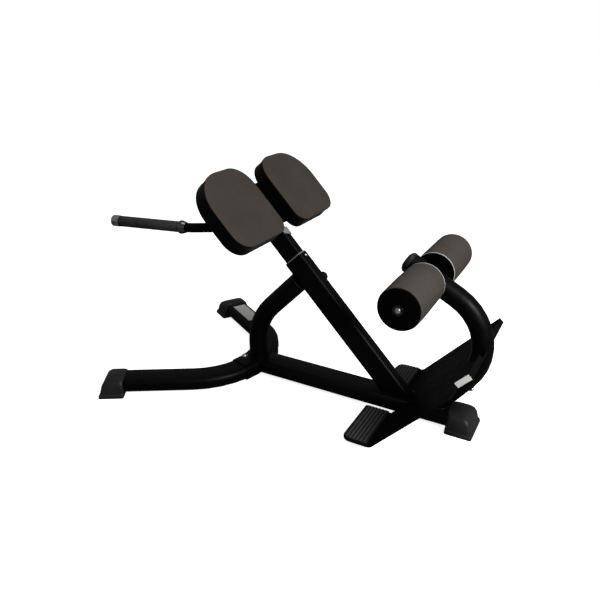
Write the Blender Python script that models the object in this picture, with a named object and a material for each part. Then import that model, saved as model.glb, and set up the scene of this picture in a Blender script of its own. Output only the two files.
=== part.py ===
"""Roman chair: a 45-degree back-extension bench with a telescoping pad post.

Metres, +Z up. +X points towards the foot platform, Y runs across the bench and the
frame is symmetric about Y = 0. The origin is on the floor, under the middle of the bench.
"""

import math

import bmesh
import bpy
from mathutils import Matrix, Vector

# ---------------------------------------------------------------- driving dimensions

GAP = 0.0004                 # running and assembly gap between touching pieces
WALL = 0.003                 # steel tube wall
ARC_STEPS = 4                # points along each rounded corner of a flat-sided tube
SIDES = (("left", -1), ("right", 1))

FRONT_X = 0.6241             # outer end of the front foot
APEX_X = FRONT_X - 0.832     # middle of the rear stabiliser's bend, on its centre line

TUBE_W = 0.100               # base beam, across
LEG_W = 0.094                # rear stabiliser tube, across
TUBE_H = 0.050               # base tube, height
TUBE_R = 0.018               # base tube, corner radius
BEAM_Z = 0.037               # centre height of the base beam
LEG_Z = 0.0335               # centre height of the rear stabiliser

BEND_R = 0.264               # centre-line radius of the stabiliser's bend
LEG_ANGLE = math.radians(31.5)
LEG_STRAIGHT = 0.292         # straight leg, from the bend to the tube's end

FOOT_L = 0.088
FOOT_HALF_W = 0.066
FOOT_ABOVE_TUBE = 0.0016     # foot cap's top above the tube's top
FOOT_WALL = 0.034            # solid end of a foot cap, beyond the tube

BEND_STEPS = 6               # straight steps in each half of the bend
SADDLE_STEPS = 2             # how many of them the saddle spans on each side
SADDLE_T = 0.004
SADDLE_BOLT_Y = 0.038
SADDLE_BOLT_BACK = 0.028     # behind the middle of the bend

POST_ANGLE = math.radians(46.4)
SLEEVE_TOP = Vector((FRONT_X - 0.661, 0.0, 0.4745))
SLEEVE_D = 0.080             # in the bench's plane, square to the slope
SLEEVE_W = 0.045             # across the bench
SLEEVE_R = 0.010
POST_D = 0.070
POST_W = 0.035
POST_R = 0.008
POST_BELOW = 0.240           # post inside the sleeve, below its mouth
POST_ABOVE = 0.290           # post above the sleeve's mouth
LINER_DEPTH = 0.060
LINER_LIP = 0.004

HOLE_PITCH = 0.025           # height adjustment
HOLES_DOWN = 2
HOLES_UP = 4
PIN_S = -0.104               # lock pin's place along the post, from the sleeve's mouth
PIN_R = 0.0040
PIN_SHOULDER_R = 0.0052      # stop that keeps the pin in its housing
PIN_STEM_R = 0.0033
PIN_STEM_IN_KNOB = 0.012
PIN_FLOOR = 0.002            # housing's inner floor, outside the sleeve's face
SPRING_R = 0.0062
SPRING_WIRE_R = 0.0006
HOUSING_BORE_R = 0.0072
HOUSING_THREAD_R = 0.0088
PIN_ENGAGE = 0.009           # how far the pin reaches into the post
HOUSING_R = 0.0105
HOUSING_L = 0.024
KNOB_R = 0.0168
KNOB_L = 0.0280

PAD_S = 0.214                # middle of the pads, along the post from the sleeve's mouth
PAD_FACE_N = 0.0844          # pad face in front of the post's axis
PAD_T = 0.056                # cushion, over foam and board
BOARD_T = 0.012
PAD_L = 0.262
PAD_IN_Y = 0.0440
PAD_OUT_Y = 0.3065
PAD_CORNERS = (0.120, 0.077, 0.048, 0.063)   # top outer, top inner, low inner, low outer
PAD_EDGE_R = 0.006
BOARD_INSET = 0.004
BRACKET_T = 0.005
BRACKET_HALF_W = 0.215
LOWER_BRACKET = (0.122, 0.187)   # each bracket's two ends, along the post
UPPER_BRACKET = (0.189, 0.2875)
PAD_BOLT_Y = 0.165

BAR_R = 0.015                # handlebar tube
BAR_X = FRONT_X - 0.810
BAR_Z = 0.615
BAR_CORNER_Y = 0.207         # where the cross part and the diagonal would meet
BAR_KINK = Vector((FRONT_X - 0.8952, 0.2571, BAR_Z))
BAR_BEND_R = 0.060
GRIP_SPLAY = math.radians(11.06)
BAR_LEG = 0.2695             # from the kink to the tube's end
GRIP_R = 0.0172
GRIP_L = 0.2115
GRIP_START = 0.0225          # bare tube beyond the grip, under the end cap
END_CAP_R = 0.0182
COLLAR_R = 0.0212
COLLAR_L = 0.024

ROLLER_X = FRONT_X - 0.1984
ROLLER_Z = 0.4923
ROLLER_R = 0.0646
ROLLER_IN_Y = 0.0500
ROLLER_OUT_Y = 0.2710
AXLE_R = 0.0125
CORE_R = 0.0200
BUSH_R = 0.0170

ARM_R = 0.0337
ARM_BEND_X = FRONT_X - 0.1922
ARM_BEND_Z = 0.2882
ARM_BEND_R = 0.1784
ARM_TOP_ANGLE = math.radians(61.6)     # where the bend meets the upper straight
ARM_LOW_ANGLE = math.radians(-36.8)    # where it meets the lower straight
ARM_TOP_STRAIGHT = 0.172

STRUT_R = 0.0345
STRUT_X = FRONT_X - 0.821
STRUT_BEND_R = 0.220
STRUT_TURN = math.radians(44.0)
STRUT_CORNER_Z = 0.212       # where the two straight centre lines would meet

PLATE_ANGLE = math.radians(47.5)
PLATE_TOE_X = FRONT_X - 0.358
PLATE_BEND_X = FRONT_X - 0.2623
PLATE_TOE_Z = 0.017          # top of the steel under the toe treads
PLATE_LENGTH = 0.392         # slope, from the bend to the heel's end
PLATE_SHOULDER = 0.336       # slope, from the bend to the full width's end
PLATE_HALF_W = 0.262
PLATE_BEND_R = 0.020
HEEL_HALF_W = 0.202
HEEL_RIM_H = 0.0145
HEEL_RIM_T = 0.004
PROUD = 0.0003               # a rim stands this much past the plate that it grows from
TOE_HALF_W = 0.257
PLATE_T = 0.005
SLOT_HALF_W = 0.060          # gap in the toe part for the beam
RIM_GAP_HALF_W = 0.078       # gap in the heel's rim, round the arm
TREAD_T = 0.0052
TREAD_RIB = 0.0016


# ---------------------------------------------------------------- scene and materials

def clear_scene():
    for thing in list(bpy.data.objects):
        bpy.data.objects.remove(thing, do_unlink=True)


def material(name, colour, roughness, metallic=0.0):
    mat = bpy.data.materials.new(name)
    mat.use_nodes = True
    shader = mat.node_tree.nodes["Principled BSDF"]
    shader.inputs["Base Color"].default_value = (*colour, 1.0)
    shader.inputs["Roughness"].default_value = roughness
    shader.inputs["Metallic"].default_value = metallic
    mat.diffuse_color = (*colour, 1.0)
    return mat


def finish_paint():
    return material("black_powder_coat", (0.006, 0.006, 0.007), 0.38)


def finish_steel():
    return material("zinc_plated_steel", (0.62, 0.62, 0.60), 0.28, 1.0)


def finish_rubber():
    return material("grey_rubber", (0.045, 0.045, 0.048), 0.6)


def finish_plastic():
    return material("black_plastic", (0.010, 0.010, 0.011), 0.42)


def finish_vinyl():
    return material("brown_grey_vinyl", (0.070, 0.061, 0.054), 0.5)


def finish_wood():
    return material("plywood", (0.42, 0.29, 0.17), 0.7)


def finish_label():
    return material("blank_label", (0.78, 0.78, 0.76), 0.45)


# ---------------------------------------------------------------- mesh helpers

def add_object(name, mesh, mat, smooth_angle=35.0):
    mesh.materials.append(mat)
    mesh.shade_smooth()
    mesh.set_sharp_from_angle(angle=math.radians(smooth_angle))
    item = bpy.data.objects.new(name, mesh)
    bpy.context.scene.collection.objects.link(item)
    return item


def mesh_from(name, bm):
    bmesh.ops.recalc_face_normals(bm, faces=bm.faces)
    mesh = bpy.data.meshes.new(name)
    bm.to_mesh(mesh)
    bm.free()
    return mesh


def set_origin(item, point):
    """Moves an object's origin to a point without moving its surface."""
    item.data.transform(Matrix.Translation(-Vector(point)))
    item.location = point


def rounded_rect(width, height, radius, steps=ARC_STEPS):
    """Counter-clockwise outline with round corners, centred on the origin."""
    points = []
    corners = ((1, 1, 0.0), (-1, 1, 0.5), (-1, -1, 1.0), (1, -1, 1.5))
    for sx, sy, start in corners:
        cx = sx * (width / 2 - radius)
        cy = sy * (height / 2 - radius)
        for i in range(steps + 1):
            a = math.pi * (start + 0.5 * i / steps)
            points.append((cx + radius * math.cos(a), cy + radius * math.sin(a)))
    return points


def circle(radius, sides=24):
    turns = [2 * math.pi * i / sides for i in range(sides)]
    return [(radius * math.cos(a), radius * math.sin(a)) for a in turns]


def frame_at(origin, across, up):
    """A station of a sweep: where it is, and its outline's two directions."""
    return (Vector(origin), Vector(across).normalized(), Vector(up).normalized())


def ring(bm, outline, station):
    origin, across, up = station
    return [bm.verts.new(origin + across * u + up * v) for u, v in outline]


def skin(bm, ring_a, ring_b):
    count = len(ring_a)
    for i in range(count):
        j = (i + 1) % count
        bm.faces.new((ring_a[i], ring_a[j], ring_b[j], ring_b[i]))


def sweep(name, outline, stations, inner=None):
    """Solid swept through stations, or an open-ended tube where inner is given."""
    bm = bmesh.new()
    outer_rings = [ring(bm, outline, s) for s in stations]
    for a, b in zip(outer_rings, outer_rings[1:]):
        skin(bm, a, b)
    if inner is None:
        bm.faces.new(outer_rings[0])
        bm.faces.new(outer_rings[-1])
        return mesh_from(name, bm)
    inner_rings = [ring(bm, inner, s) for s in stations]
    for a, b in zip(inner_rings, inner_rings[1:]):
        skin(bm, a, b)
    skin(bm, outer_rings[0], inner_rings[0])
    skin(bm, outer_rings[-1], inner_rings[-1])
    return mesh_from(name, bm)


def loft(name, rings_of_points):
    """Closed solid through rings of 3-D points."""
    bm = bmesh.new()
    rings = [[bm.verts.new(p) for p in points] for points in rings_of_points]
    for a, b in zip(rings, rings[1:]):
        skin(bm, a, b)
    bm.faces.new(rings[0])
    bm.faces.new(rings[-1])
    return mesh_from(name, bm)


def turned(name, profile, centre, axis, sides=24):
    """Solid of revolution. profile: (radius, distance along axis), a closed outline."""
    axis = Vector(axis).normalized()
    side = axis.orthogonal().normalized()
    other = axis.cross(side)
    bm = bmesh.new()
    rings = []
    for radius, along in profile:
        middle = Vector(centre) + axis * along
        if radius < 1e-6:
            rings.append([bm.verts.new(middle)])
            continue
        turns = [2 * math.pi * i / sides for i in range(sides)]
        rings.append([bm.verts.new(middle + side * radius * math.cos(a) + other * radius * math.sin(a))
                      for a in turns])
    for a, b in list(zip(rings, rings[1:])) + [(rings[-1], rings[0])]:
        if len(a) == 1 and len(b) == 1:
            continue
        if len(a) == 1 or len(b) == 1:
            tip, rim = (a, b) if len(a) == 1 else (b, a)
            for i in range(sides):
                bm.faces.new((tip[0], rim[i], rim[(i + 1) % sides]))
            continue
        skin(bm, a, b)
    return mesh_from(name, bm)


def rod(name, radius, start, end, sides=24):
    start = Vector(start)
    length = (Vector(end) - start).length
    profile = [(0.0, 0.0), (radius, 0.0), (radius, length), (0.0, length)]
    return turned(name, profile, start, Vector(end) - start, sides)


def box_mesh(name, size, matrix):
    bm = bmesh.new()
    bmesh.ops.create_cube(bm, size=1.0)
    bmesh.ops.scale(bm, vec=size, verts=bm.verts)
    bmesh.ops.transform(bm, matrix=matrix, verts=bm.verts)
    return mesh_from(name, bm)


def cutter(name, mesh):
    item = bpy.data.objects.new(name, mesh)
    bpy.context.scene.collection.objects.link(item)
    item.hide_render = True
    item.display_type = "WIRE"
    return item


def boolean(item, tool, operation="DIFFERENCE"):
    mod = item.modifiers.new(tool.name, "BOOLEAN")
    mod.operation = operation
    mod.solver = "EXACT"
    mod.object = tool
    return mod


# ---------------------------------------------------------------- post coordinates

POST_UP = Vector((-math.cos(POST_ANGLE), 0.0, math.sin(POST_ANGLE)))
POST_OUT = Vector((math.sin(POST_ANGLE), 0.0, math.cos(POST_ANGLE)))
SIDE = Vector((0.0, 1.0, 0.0))


def on_post(s, n, y=0.0):
    """A point s along the post from the sleeve's mouth, n in front of its axis."""
    return SLEEVE_TOP + POST_UP * s + POST_OUT * n + SIDE * y


def post_station(s):
    return frame_at(on_post(s, 0.0), POST_OUT, SIDE)


def post_prism(name, outline_ny, s0, s1):
    """Prism along the post. outline_ny: (in front of the axis, across)."""
    return sweep(name, outline_ny, [post_station(s0), post_station(s1)])


# ---------------------------------------------------------------- base

def tube_outline(grow=0.0, width=TUBE_W):
    return rounded_rect(width + 2 * grow, TUBE_H + 2 * grow, TUBE_R + grow)


def leg_outline(grow=0.0):
    return tube_outline(grow, LEG_W)


def bend_centre():
    return Vector((APEX_X - BEND_R, 0.0, LEG_Z))


def bend_station(angle):
    out = Vector((math.cos(angle), math.sin(angle), 0.0))
    return frame_at(bend_centre() + out * BEND_R, out, (0, 0, 1))


def leg_end(side, beyond=0.0):
    """The leg tube's end point and the direction that it points in."""
    turn = math.pi / 2 - LEG_ANGLE
    start = bend_centre() + Vector((math.cos(turn), side * math.sin(turn), 0.0)) * BEND_R
    along = Vector((-math.cos(LEG_ANGLE), side * math.sin(LEG_ANGLE), 0.0))
    return start + along * (LEG_STRAIGHT + beyond), along


def bend_stations(count):
    """Stations round the bend, count steps each way from its middle."""
    step = (math.pi / 2 - LEG_ANGLE) / BEND_STEPS
    return [bend_station(step * i) for i in range(-count, count + 1)]


def stabiliser_stations():
    middle = bend_stations(BEND_STEPS)
    first = frame_at(leg_end(-1)[0], middle[0][1], (0, 0, 1))
    last = frame_at(leg_end(1)[0], middle[-1][1], (0, 0, 1))
    return [first] + middle + [last]


def make_stabiliser(paint):
    mesh = sweep("rear_stabiliser", leg_outline(), stabiliser_stations(), leg_outline(-WALL))
    return add_object("rear_stabiliser", mesh, paint)


def make_saddle(paint):
    """Bent plate that wraps the stabiliser's bend on all but its rear side."""
    mesh = sweep("saddle", leg_outline(GAP + SADDLE_T), bend_stations(SADDLE_STEPS))
    item = add_object("saddle_bracket", mesh, paint)
    wide = bend_stations(SADDLE_STEPS + 1)
    boolean(item, cutter("cut_saddle_tube", sweep("cut", leg_outline(GAP), wide)))
    behind = [(point - out * LEG_W * 0.6, out, up) for point, out, up in wide]
    rear = sweep("cut", rounded_rect(LEG_W, TUBE_H - 2 * TUBE_R, 0.002), behind)
    boolean(item, cutter("cut_saddle_rear", rear))
    return item


def make_beam(paint):
    """Base beam. Its rear end is coped round the saddle."""
    rear = Vector((APEX_X + TUBE_W / 2 - 0.012, 0.0, BEAM_Z))
    front = Vector((FRONT_X - FOOT_WALL, 0.0, BEAM_Z))
    stations = [frame_at(p, (0, 1, 0), (0, 0, 1)) for p in (rear, front)]
    item = add_object("base_beam", sweep("beam", tube_outline(), stations, tube_outline(-WALL)), paint)
    reach = LEG_W + 2 * (2 * GAP + SADDLE_T)
    saddle = sweep("cut", rounded_rect(reach, TUBE_H * 2, 0.002, 2), bend_stations(SADDLE_STEPS))
    boolean(item, cutter("cut_beam_end", saddle))
    return item


def foot_rings(tube_z):
    """Foot cap sections from the floor up: height, end set back, half width, corner."""
    top = tube_z + TUBE_H / 2 + FOOT_ABOVE_TUBE
    return (
        (0.0000, 0.0000, FOOT_HALF_W, 0.007),
        (0.0100, 0.0020, FOOT_HALF_W - 0.001, 0.007),
        (0.0140, 0.0060, FOOT_HALF_W - 0.006, 0.008),
        (0.0175, 0.0062, FOOT_HALF_W - 0.0065, 0.009),
        (top - 0.0200, 0.0118, FOOT_HALF_W - 0.0095, 0.012),
        (top - 0.0090, 0.0180, FOOT_HALF_W - 0.0130, 0.014),
        (top - 0.0030, 0.0250, FOOT_HALF_W - 0.0190, 0.014),
        (top, 0.0310, FOOT_HALF_W - 0.0280, 0.012),
    )


def make_foot(name, tube_end, along, width, rubber):
    """Moulded cap over a tube's end, flared to a wide sole."""
    along = Vector(along).normalized()
    across = Vector((-along.y, along.x, 0.0))
    floor = Vector((tube_end.x, tube_end.y, 0.0)) + along * FOOT_WALL
    rings = []
    for z, back, half, corner in foot_rings(tube_end.z):
        length = FOOT_L - back
        middle = floor - along * (back + length / 2)
        outline = rounded_rect(length, 2 * half, corner, 3)
        rings.append([middle + along * u + across * v + Vector((0, 0, z)) for u, v in outline])
    item = add_object(name, loft(name, rings), rubber, 50.0)
    inner = tube_end + along * GAP
    stations = [frame_at(inner - along * 0.12, across, (0, 0, 1)), frame_at(inner, across, (0, 0, 1))]
    boolean(item, cutter("cut_" + name, sweep("cut", tube_outline(GAP, width), stations)))
    return item


def make_feet(rubber):
    beam_end = Vector((FRONT_X - FOOT_WALL, 0.0, BEAM_Z))
    make_foot("front_foot", beam_end, (1, 0, 0), TUBE_W, rubber)
    for word, side in SIDES:
        end, along = leg_end(side)
        make_foot("rear_foot_" + word, end, along, LEG_W, rubber)


# ---------------------------------------------------------------- bolts

def bolt_mesh(head_centre, axis, head_r=0.0085, head_h=0.006, shank_r=0.004, shank_l=0.012, rim=1.35):
    """Domed bolt on a washer; axis points out of the head, the shank goes the other way."""
    washer_r = head_r * rim
    washer_h = 0.0016
    profile = [
        (0.0, -shank_l), (shank_r, -shank_l), (shank_r, 0.0), (washer_r, 0.0), (washer_r, washer_h),
        (head_r, washer_h), (head_r * 0.92, washer_h + head_h * 0.55),
        (head_r * 0.55, washer_h + head_h), (0.0, washer_h + head_h),
    ]
    return turned("bolt", profile, head_centre, axis, 16)


def hole_cutter(name, centre, axis, radius=0.0044, depth=0.02):
    axis = Vector(axis).normalized()
    return cutter(name, rod("cut", radius, Vector(centre) - axis * depth, Vector(centre) + axis * depth, 16))


def make_saddle_bolts(steel, saddle, stabiliser):
    top = Vector((APEX_X - SADDLE_BOLT_BACK, 0.0, LEG_Z + TUBE_H / 2 + SADDLE_T + 2 * GAP))
    for word, side in SIDES:
        centre = top + Vector((0, side * SADDLE_BOLT_Y, 0))
        add_object("saddle_bolt_" + word, bolt_mesh(centre, (0, 0, 1)), steel)
        tool = hole_cutter("cut_saddle_bolt_" + word, centre, (0, 0, 1))
        boolean(saddle, tool)
        boolean(stabiliser, tool)


# ---------------------------------------------------------------- upright and post

def make_sleeve(paint):
    """Outer upright. It stands on the beam's top, cut to the slope."""
    outline = rounded_rect(SLEEVE_D, SLEEVE_W, SLEEVE_R)
    inner = rounded_rect(SLEEVE_D - 2 * WALL, SLEEVE_W - 2 * WALL, SLEEVE_R - WALL)
    below = -(SLEEVE_TOP.z - BEAM_Z) / math.sin(POST_ANGLE) - 0.05
    mesh = sweep("sleeve", outline, [post_station(below), post_station(0.0)], inner)
    item = add_object("upright_sleeve", mesh, paint)
    floor_top = BEAM_Z + TUBE_H / 2 + GAP
    matrix = Matrix.Translation((FRONT_X - 0.25, 0, floor_top - 0.25))
    boolean(item, cutter("cut_sleeve_foot", box_mesh("cut", (0.6, 0.4, 0.5), matrix)))
    return item


def liner_outline(grow):
    return rounded_rect(POST_D + 2 * grow, POST_W + 2 * grow, POST_R + grow)


def make_liner(plastic):
    """Plastic bush in the sleeve's mouth, with a lip over the tube's edge."""
    slack = GAP
    body_t = (SLEEVE_D - 2 * WALL - POST_D) / 2 - GAP
    bm = bmesh.new()
    levels = (
        (-LINER_DEPTH, slack, body_t), (GAP, slack, body_t),
        (GAP, slack, body_t + WALL), (LINER_LIP, slack, body_t + WALL - 0.001),
    )
    outer = [ring(bm, liner_outline(o), post_station(s)) for s, _, o in levels]
    inner = [ring(bm, liner_outline(i), post_station(s)) for s, i, _ in (levels[0], levels[-1])]
    for a, b in zip(outer, outer[1:]):
        skin(bm, a, b)
    skin(bm, inner[0], inner[1])
    skin(bm, outer[0], inner[0])
    skin(bm, outer[-1], inner[1])
    return add_object("sleeve_liner", mesh_from("sleeve_liner", bm), plastic)


def make_post(paint):
    outline = rounded_rect(POST_D, POST_W, POST_R)
    inner = rounded_rect(POST_D - 2 * WALL, POST_W - 2 * WALL, POST_R - WALL)
    mesh = sweep("post", outline, [post_station(-POST_BELOW), post_station(POST_ABOVE)], inner)
    item = add_object("inner_post", mesh, paint)
    for i in range(-HOLES_DOWN, HOLES_UP + 1):
        centre = on_post(PIN_S - i * HOLE_PITCH, 0.0, POST_W / 2)
        tool = hole_cutter("cut_post_hole_%d" % (i + HOLES_DOWN), centre, (0, 1, 0), PIN_R + GAP, 0.0075)
        boolean(item, tool)
    start = Vector((BAR_X, -0.05, BAR_Z))
    boolean(item, cutter("cut_post_bar", rod("cut", BAR_R + GAP, start, start + Vector((0, 0.1, 0)))))
    return item


def plug_mesh(s_face, inwards):
    """Push-in plug for the post's end: a rim over the wall and a block inside."""
    slack = 2 * GAP
    block = rounded_rect(POST_D - 2 * (WALL + slack), POST_W - 2 * (WALL + slack), POST_R - WALL)
    rim = rounded_rect(POST_D - 0.002, POST_W - 0.002, POST_R - 0.001)
    face = rounded_rect(POST_D - 0.008, POST_W - 0.008, POST_R - 0.003)
    out = -inwards
    levels = ((0.018 * inwards, block), (GAP * out, block), (GAP * out, rim), (0.003 * out, rim),
              (0.005 * out, face))
    rings = []
    for offset, outline in levels:
        origin, across, up = post_station(s_face + offset)
        rings.append([origin + across * u + up * v for u, v in outline])
    return loft("plug", rings)


def make_post_plugs(plastic):
    add_object("post_top_plug", plug_mesh(POST_ABOVE, -1), plastic)
    add_object("post_bottom_plug", plug_mesh(-POST_BELOW, 1), plastic)


def make_post_bumper(rubber):
    """Rubber stop on the post's front, which meets the sleeve when the pads go right down."""
    half = POST_W / 2
    base = POST_D / 2 + GAP
    outline = [(0.072, half - 0.004), (0.086, -half + 0.001), (0.104, -half + 0.001), (0.104, half - 0.001),
               (0.074, half - 0.001)]
    rings = [[on_post(s, base + rise, y * shrink) for s, y in outline] for rise, shrink in
             ((0.0, 1.0), (0.002, 1.0), (0.0032, 0.85))]
    add_object("post_bumper", loft("post_bumper", rings), rubber)


def make_liner_screw(steel, sleeve, liner):
    centre = on_post(-0.014, SLEEVE_D / 2 + GAP)
    tool = hole_cutter("cut_liner_screw", centre, POST_OUT, 0.0029, 0.0045)
    boolean(sleeve, tool)
    boolean(liner, tool)
    mesh = bolt_mesh(centre, POST_OUT, 0.0042, 0.0024, 0.0024, 0.0040)
    add_object("liner_screw", mesh, steel)


# ---------------------------------------------------------------- lock pin

def pin_point(y):
    return on_post(PIN_S, 0.0, y)


def make_lock_pin(paint, steel, plastic, sleeve):
    """Spring pull pin on the +Y side: threaded housing, pin, spring and knob."""
    face = SLEEVE_W / 2
    boolean(sleeve, hole_cutter("cut_sleeve_pin", pin_point(face), (0, 1, 0), 0.0075, 0.008))
    floor_bore = PIN_R + GAP
    house = [
        (0.0070, -WALL + GAP), (0.0070, GAP), (HOUSING_R, GAP), (HOUSING_R, 0.006), (HOUSING_THREAD_R, 0.007),
        (HOUSING_THREAD_R, HOUSING_L), (floor_bore, HOUSING_L), (floor_bore, HOUSING_L - 0.003),
        (HOUSING_BORE_R, HOUSING_L - 0.003), (HOUSING_BORE_R, PIN_FLOOR), (floor_bore, PIN_FLOOR),
        (floor_bore, -WALL + GAP),
    ]
    add_object("lock_pin_housing", turned("housing", house, pin_point(face), (0, 1, 0)), paint)
    tip = POST_W / 2 - PIN_ENGAGE
    stem_end = face + HOUSING_L + GAP
    stem_tip = stem_end + PIN_STEM_IN_KNOB
    shoulder = face + PIN_FLOOR + GAP
    pin = [
        (0.0, tip), (PIN_R - 0.001, tip), (PIN_R, tip + 0.0015), (PIN_R, shoulder),
        (PIN_SHOULDER_R, shoulder), (PIN_SHOULDER_R, shoulder + 0.002), (PIN_STEM_R, shoulder + 0.002),
        (PIN_STEM_R, stem_tip), (0.0, stem_tip),
    ]
    item = add_object("lock_pin", turned("pin", pin, on_post(PIN_S, 0.0), (0, 1, 0)), steel)
    set_origin(item, pin_point(face))
    top = stem_end + KNOB_L
    bore = PIN_STEM_R + GAP
    knob = [
        (bore, stem_end), (0.0080, stem_end), (KNOB_R, stem_end + 0.004), (KNOB_R, top - 0.006),
        (KNOB_R - 0.004, top - 0.001), (0.004, top), (0.0, top), (0.0, stem_tip + GAP),
        (bore, stem_tip + GAP),
    ]
    knob = add_object("lock_pin_knob", turned("knob", knob, on_post(PIN_S, 0.0), (0, 1, 0)), plastic)
    set_origin(knob, pin_point(face))
    spring_end = face + HOUSING_L - 0.0036
    spring = coil("spring", pin_point(0.0), shoulder + 0.003, spring_end, SPRING_R, SPRING_WIRE_R)
    add_object("lock_pin_spring", spring, steel)


def coil(name, origin, y0, y1, radius, wire_r, turns=5, steps=14, sides=6):
    """Compression spring along Y with flat-ish ends."""
    count = turns * steps
    stations = []
    for i in range(count + 1):
        a = 2 * math.pi * i / steps
        radial = Vector((math.cos(a), 0.0, math.sin(a)))
        rise = (y1 - y0 - 2 * wire_r) * i / count
        centre = Vector(origin) + radial * radius + SIDE * (y0 + wire_r + rise)
        stations.append(frame_at(centre, radial, SIDE))
    return sweep(name, circle(wire_r, sides), stations)


# ---------------------------------------------------------------- pads

def pad_outline(side, grow=0.0):
    """Pad seen square on: (along the post from its middle, across the bench)."""
    middle_y = (PAD_IN_Y + PAD_OUT_Y) / 2
    half_y = (PAD_OUT_Y - PAD_IN_Y) / 2 + grow
    half_s = PAD_L / 2 + grow
    points = []
    corners = ((1, 1, 0.0), (-1, 1, 0.5), (-1, -1, 1.0), (1, -1, 1.5))
    radii = (PAD_CORNERS[0], PAD_CORNERS[3], PAD_CORNERS[2], PAD_CORNERS[1])
    steps = 8
    for (ss, sy, start), radius in zip(corners, radii):
        radius += grow
        for i in range(steps + 1):
            a = math.pi * (start + 0.5 * i / steps)
            s = ss * (half_s - radius) + radius * math.cos(a)
            y = sy * (half_y - radius) + radius * math.sin(a)
            points.append((s, side * (middle_y + y)))
    return points


def pad_levels(side, levels):
    rings = []
    for n, grow in levels:
        rings.append([on_post(PAD_S + s, n, y) for s, y in pad_outline(side, grow)])
    return rings


def make_pads(vinyl, wood):
    """Cushions with a plywood board let into the back of each."""
    back = PAD_FACE_N - PAD_T
    board_top = back + BOARD_T
    for word, side in SIDES:
        levels = (
            (back, -0.003), (back + 0.003, 0.0), (PAD_FACE_N - PAD_EDGE_R, 0.0),
            (PAD_FACE_N - PAD_EDGE_R * 0.3, -PAD_EDGE_R * 0.3), (PAD_FACE_N, -PAD_EDGE_R),
        )
        pad = add_object("hip_pad_" + word, loft("pad", pad_levels(side, levels)), vinyl, 50.0)
        pocket = ((back - 0.01, GAP - BOARD_INSET), (board_top + GAP, GAP - BOARD_INSET))
        boolean(pad, cutter("cut_pad_" + word, loft("cut", pad_levels(side, pocket))))
        board = ((back - 0.0005, -BOARD_INSET), (board_top, -BOARD_INSET))
        item = add_object("pad_board_" + word, loft("board", pad_levels(side, board)), wood)
        for level, centre in pad_screw_points(side):
            boolean(item, hole_cutter("cut_board_%s_%s" % (word, level), centre, POST_OUT, 0.0034, 0.030))


def bracket_middles():
    return [(low + high) / 2 for low, high in (LOWER_BRACKET, UPPER_BRACKET)]


def bracket_level():
    """Front surface of the brackets, which the boards rest on."""
    return PAD_FACE_N - PAD_T - 0.0005 - GAP


def pad_screw_points(side):
    level = bracket_level() - BRACKET_T
    lower, upper = [on_post(s, level, side * PAD_BOLT_Y) for s in bracket_middles()]
    return [("lower", lower), ("upper", upper)]


def make_brackets(paint):
    """Two hat-section straps, welded round the back of the post, that carry the pads."""
    top = bracket_level()
    back = -POST_D / 2 - GAP
    side_y = POST_W / 2 + GAP
    outline = [
        (top, BRACKET_HALF_W), (top, side_y), (back, side_y), (back, -side_y), (top, -side_y),
        (top, -BRACKET_HALF_W), (top - BRACKET_T, -BRACKET_HALF_W), (top - BRACKET_T, -side_y - BRACKET_T),
        (back - BRACKET_T, -side_y - BRACKET_T), (back - BRACKET_T, side_y + BRACKET_T),
        (top - BRACKET_T, side_y + BRACKET_T), (top - BRACKET_T, BRACKET_HALF_W),
    ]
    start = Vector((BAR_X, -0.05, BAR_Z))
    bar = rod("cut", BAR_R + 2 * GAP, start, start + Vector((0, 0.1, 0)))
    for word, (low, high) in (("lower", LOWER_BRACKET), ("upper", UPPER_BRACKET)):
        s = (low + high) / 2
        item = add_object("pad_bracket_" + word, post_prism("bracket", outline, low, high), paint)
        if word == "upper":
            boolean(item, cutter("cut_bracket_bar", bar))
        for hand, side in SIDES:
            centre = on_post(s, top - BRACKET_T / 2, side * PAD_BOLT_Y)
            boolean(item, hole_cutter("cut_bracket_%s_%s" % (word, hand), centre, POST_OUT, 0.0034, 0.006))


def make_pad_screws(steel):
    for word, side in SIDES:
        for level, centre in pad_screw_points(side):
            shank = BRACKET_T + BOARD_T - 0.003
            mesh = bolt_mesh(centre - POST_OUT * GAP, -POST_OUT, 0.0065, 0.004, 0.003, shank)
            add_object("pad_screw_%s_%s" % (level, word), mesh, steel)


# ---------------------------------------------------------------- handlebar

def bend_points(corner, head_in, head_out, radius, steps):
    """Points and headings round a level bend whose straight runs would meet at corner."""
    turn = head_in.angle(head_out)
    reach = radius * math.tan(turn / 2)
    start = corner - head_in * reach
    inward = (head_out - head_in * head_in.dot(head_out)).normalized()
    centre = start + inward * radius
    found = []
    for i in range(steps + 1):
        a = turn * i / steps
        found.append((centre - inward * radius * math.cos(a) + head_in * radius * math.sin(a),
                      head_in * math.cos(a) + inward * math.sin(a)))
    return found


def right_bar_line():
    """Handlebar's right half: (point, heading) from the middle to the tip."""
    across = Vector((0.0, 1.0, 0.0))
    corner = Vector((BAR_X, BAR_CORNER_Y, BAR_Z))
    diagonal = (BAR_KINK - corner).normalized()
    outward = Vector((-math.cos(GRIP_SPLAY), math.sin(GRIP_SPLAY), 0.0))
    line = [(Vector((BAR_X, 0.0, BAR_Z)), across)]
    line += bend_points(corner, across, diagonal, BAR_BEND_R, 5)
    line += bend_points(BAR_KINK, diagonal, outward, BAR_BEND_R, 2)
    line.append((BAR_KINK + outward * BAR_LEG, outward))
    return line


def bar_stations():
    """Stations from the left tip to the right tip, in one level plane."""
    up = Vector((0, 0, 1))
    right = [frame_at(p, h.cross(up), up) for p, h in right_bar_line()]
    mirror = Vector((1, -1, 1))
    left = [frame_at(p * mirror, a * mirror, u) for p, a, u in right[:0:-1]]
    return left + right


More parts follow.
